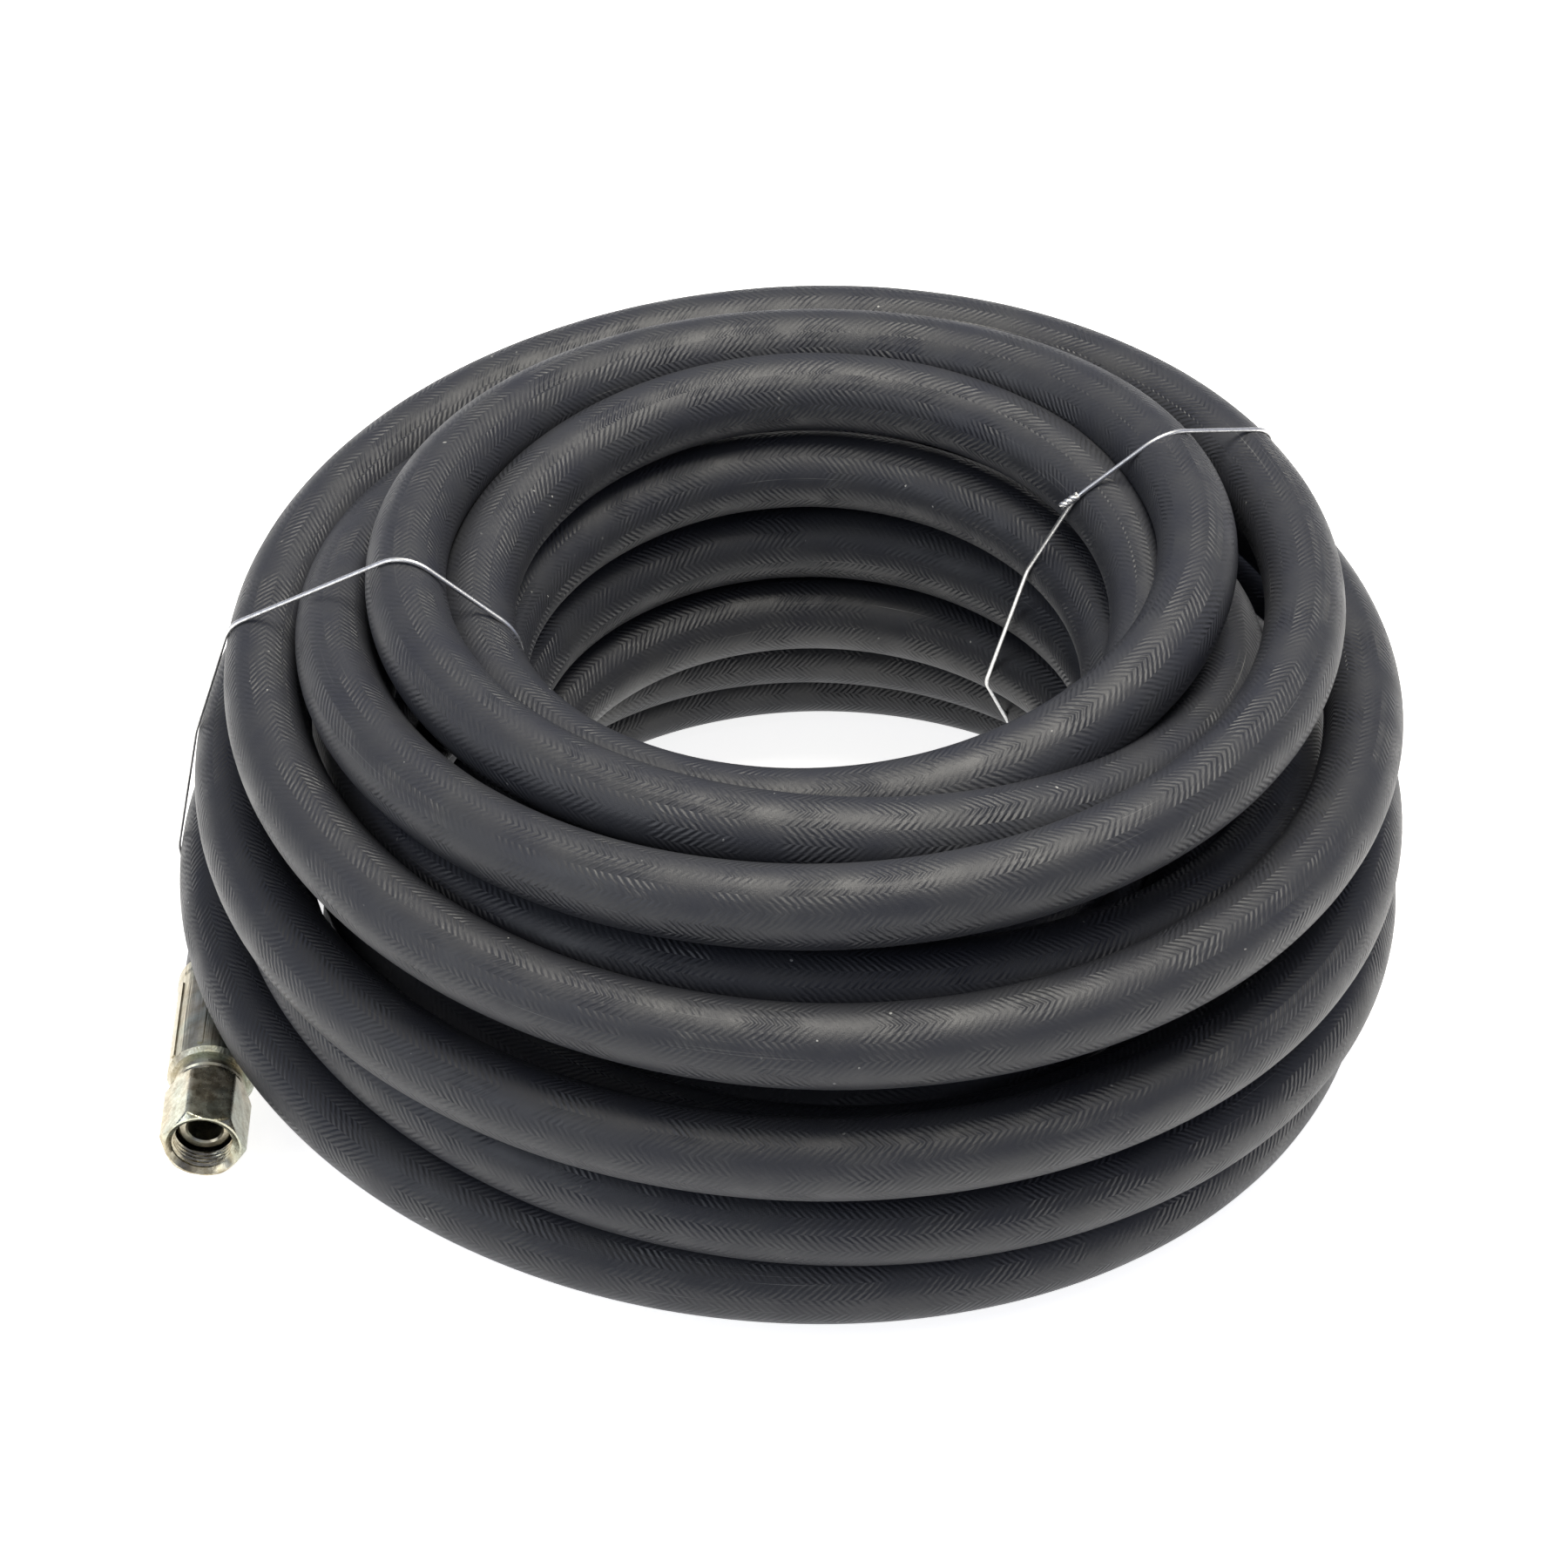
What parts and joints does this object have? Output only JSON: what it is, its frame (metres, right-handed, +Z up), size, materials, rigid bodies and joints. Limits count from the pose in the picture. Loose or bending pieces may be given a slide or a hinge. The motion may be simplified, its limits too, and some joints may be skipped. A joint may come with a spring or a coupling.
{
  "type": "hydraulic hose assembly",
  "caption": "Black braided rubber hose wound in a loose tied coil, with a crimped ferrule and a female swivel nut at each end.",
  "frame": {"origin": "on the floor, under the middle of the whole object's box", "axes": "+Z up, square to the coil; the first fitting opens towards -Y at the left front; the second opens towards +X behind the coil"},
  "size_m": [0.3937, 0.4239, 0.1745],
  "materials": {
    "cover": "satin black, cloth-wrapped cover with a fine woven imprint",
    "lining": "smooth matte",
    "braid": "off-white textile braid",
    "ferrule": "yellow-passivated zinc plate, satin",
    "nipple": "zinc plate, satin",
    "nut": "yellow-passivated zinc plate, satin",
    "spring_wire": "drawn spring steel",
    "tie_wire": "galvanised, soft"
  },
  "bodies": {
    "hose": {"hose_coil": "cover", "hose_tail_a": "cover", "hose_tail_b": "cover", "inner_tube_end_a": "lining", "braid_end_a": "braid", "cover_end_a": "cover", "ferrule_a": "ferrule", "nipple_a": "nipple", "nut_wire_a": "spring_wire", "inner_tube_end_b": "lining", "braid_end_b": "braid", "cover_end_b": "cover", "ferrule_b": "ferrule", "nipple_b": "nipple", "nut_wire_b": "spring_wire", "tie_wire_left": "tie_wire", "tie_twist_left": "tie_wire", "tie_wire_right": "tie_wire", "tie_twist_right": "tie_wire"},
    "nut_a": {"swivel_nut_a": "nut"},
    "nut_b": {"swivel_nut_b": "nut"}
  },
  "joints": [
    {"name": "nut_a_spin", "type": "hinge", "parent": "hose", "child": "nut_a", "pos_m": [-0.1806, -0.1263, 0.0148], "axis": [0, -1, 0], "continuous": true},
    {"name": "nut_b_spin", "type": "hinge", "parent": "hose", "child": "nut_b", "pos_m": [0.1759, 0.1977, 0.0148], "axis": [1, 0, 0], "continuous": true}
  ]
}
